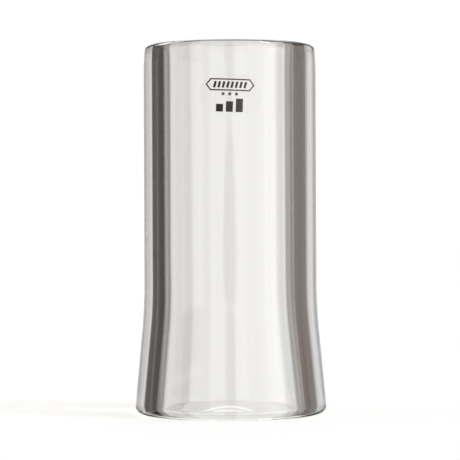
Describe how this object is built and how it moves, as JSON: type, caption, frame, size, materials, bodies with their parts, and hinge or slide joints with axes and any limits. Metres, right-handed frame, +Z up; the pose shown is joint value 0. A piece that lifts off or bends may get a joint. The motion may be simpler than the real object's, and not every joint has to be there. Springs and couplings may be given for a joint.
{
  "type": "guitar slide",
  "caption": "Clear thick-walled glass guitar slide: a straight finger tube with a flared foot, flame-rounded lips and a small clear oval label near the mouth.",
  "frame": {"origin": "on the bore axis, in the plane of the flared foot that the slide stands on", "axes": "+Z runs up the bore axis from the flared foot to the narrow mouth; -Y points out of the label; +X is to the right as the label is read"},
  "size_m": [0.0312, 0.0312, 0.06],
  "materials": {
    "clear_glass": "flame-polished clear borosilicate",
    "clear_film": "clear glossy label film",
    "black_ink": "thin dark printed layer"
  },
  "bodies": {
    "root": {"glass_tube": "clear_glass", "label_film": "clear_film", "badge_print": "black_ink", "size_print": "black_ink"}
  },
  "joints": []
}
